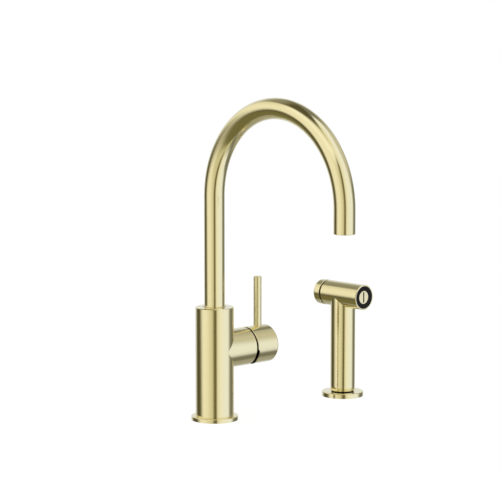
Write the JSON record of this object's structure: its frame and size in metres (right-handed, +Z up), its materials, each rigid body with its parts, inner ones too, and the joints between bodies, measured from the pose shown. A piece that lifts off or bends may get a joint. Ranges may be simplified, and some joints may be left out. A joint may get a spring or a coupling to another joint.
{
  "type": "side spray kitchen faucet",
  "caption": "Single-lever kitchen mixer with a round arched swivel spout on a plain column, and a separate T-shaped side spray that stands in its own deck holder.",
  "frame": {"origin": "on the worktop's top face, on the axis of the faucet's column", "axes": "+Z up along the column, -Y to the front, where the spout points, +X to the right, where the valve, the lever and the side spray are"},
  "size_m": [0.2758, 0.2694, 0.4535],
  "materials": {
    "brushed_gold": "fine brushed, pale gold",
    "raw_brass": "machined, uncoated",
    "bright_steel": "bright stainless",
    "black_rubber": "matt black rubber",
    "black_plastic": "satin black moulded plastic",
    "white_plastic": "natural acetal",
    "grey_plastic": "grey moulded plastic",
    "white_ceramic": "lapped alumina"
  },
  "bodies": {
    "root": {"faucet_body": "brushed_gold", "base_flange": "brushed_gold", "base_gasket": "black_rubber", "mounting_shank": "raw_brass", "deck_gasket": "black_rubber", "deck_washer": "bright_steel", "mounting_nut": "raw_brass", "cartridge_shell": "grey_plastic", "cartridge_seals": "black_rubber", "fixed_disc": "white_ceramic", "cartridge_nut": "raw_brass", "upper_swivel_bush": "white_plastic", "spout_stop_screw": "bright_steel", "diverter_body": "grey_plastic", "diverter_seal": "black_rubber", "diverter_spring": "bright_steel", "spray_holder": "brushed_gold", "holder_base_gasket": "black_rubber", "holder_deck_gasket": "black_rubber", "holder_deck_washer": "bright_steel", "holder_mounting_nut": "raw_brass"},
    "spout": {"spout_tube": "brushed_gold", "spout_stem": "raw_brass", "spout_seals": "black_rubber", "lower_swivel_bush": "white_plastic", "aerator_housing": "raw_brass", "aerator_insert": "white_plastic", "aerator_seal": "black_rubber"},
    "rotor": {"cartridge_rotor": "white_plastic", "pivot_pin": "bright_steel"},
    "disc": {"moving_disc": "white_ceramic", "disc_carrier": "white_plastic"},
    "lever": {"lever_stem": "bright_steel", "lever_cap": "brushed_gold", "lever_rod": "brushed_gold", "lever_grub_screw": "bright_steel"},
    "diverter": {"diverter_piston": "white_plastic"},
    "bush": {"glide_bush": "black_plastic"},
    "spray": {"grip_foot": "brushed_gold", "check_valve": "white_plastic", "riser_tube": "white_plastic", "riser_seals": "black_rubber", "spray_grip": "brushed_gold", "spray_head": "brushed_gold", "spray_valve_body": "grey_plastic", "valve_body_seals": "black_rubber", "nozzle_seal": "black_rubber", "nozzle_ring": "black_plastic", "nozzle_face": "brushed_gold", "button_spring": "bright_steel"},
    "button": {"spray_button": "brushed_gold", "valve_plunger": "bright_steel", "plunger_seal": "black_rubber", "valve_disc": "black_rubber"}
  },
  "joints": [
    {"name": "spout_swivel", "type": "hinge", "parent": "root", "child": "spout", "pos_m": [0, 0, 0.12], "axis": [0, 0, 1], "range_deg": [-60, 60]},
    {"name": "lever_turn", "type": "hinge", "parent": "root", "child": "rotor", "pos_m": [0.042, 0, 0.0842], "axis": [1, 0, 0], "range_deg": [-45, 45]},
    {"name": "lever_flow", "type": "hinge", "parent": "rotor", "child": "lever", "pos_m": [0.042, 0, 0.0842], "axis": [0, 1, 0], "range_deg": [0, 15]},
    {"name": "disc_slide", "type": "slide", "parent": "rotor", "child": "disc", "axis": [0, 0, 1], "range_m": [0, 0.0033]},
    {"name": "spray_turn", "type": "hinge", "parent": "root", "child": "bush", "pos_m": [0.2206, 0, 0], "axis": [0, 0, 1], "continuous": true},
    {"name": "spray_lift", "type": "slide", "parent": "bush", "child": "spray", "axis": [0, 0, 1], "range_m": [0, 0.3]},
    {"name": "button_press", "type": "slide", "parent": "spray", "child": "button", "axis": [0, -1, 0], "range_m": [0, 0.002], "stiffness_N_per_m": 600, "springref_m": -0.005, "deforming": ["button_spring"]},
    {"name": "diverter_shift", "type": "slide", "parent": "root", "child": "diverter", "axis": [0, 0, -1], "range_m": [0, 0.003], "deforming": ["diverter_spring"]}
  ],
  "couplings": [
    {"joint": "disc_slide", "follows": "lever_flow", "m_per_rad": 0.0122},
    {"joint": "diverter_shift", "follows": "button_press", "ratio": 1.5}
  ]
}
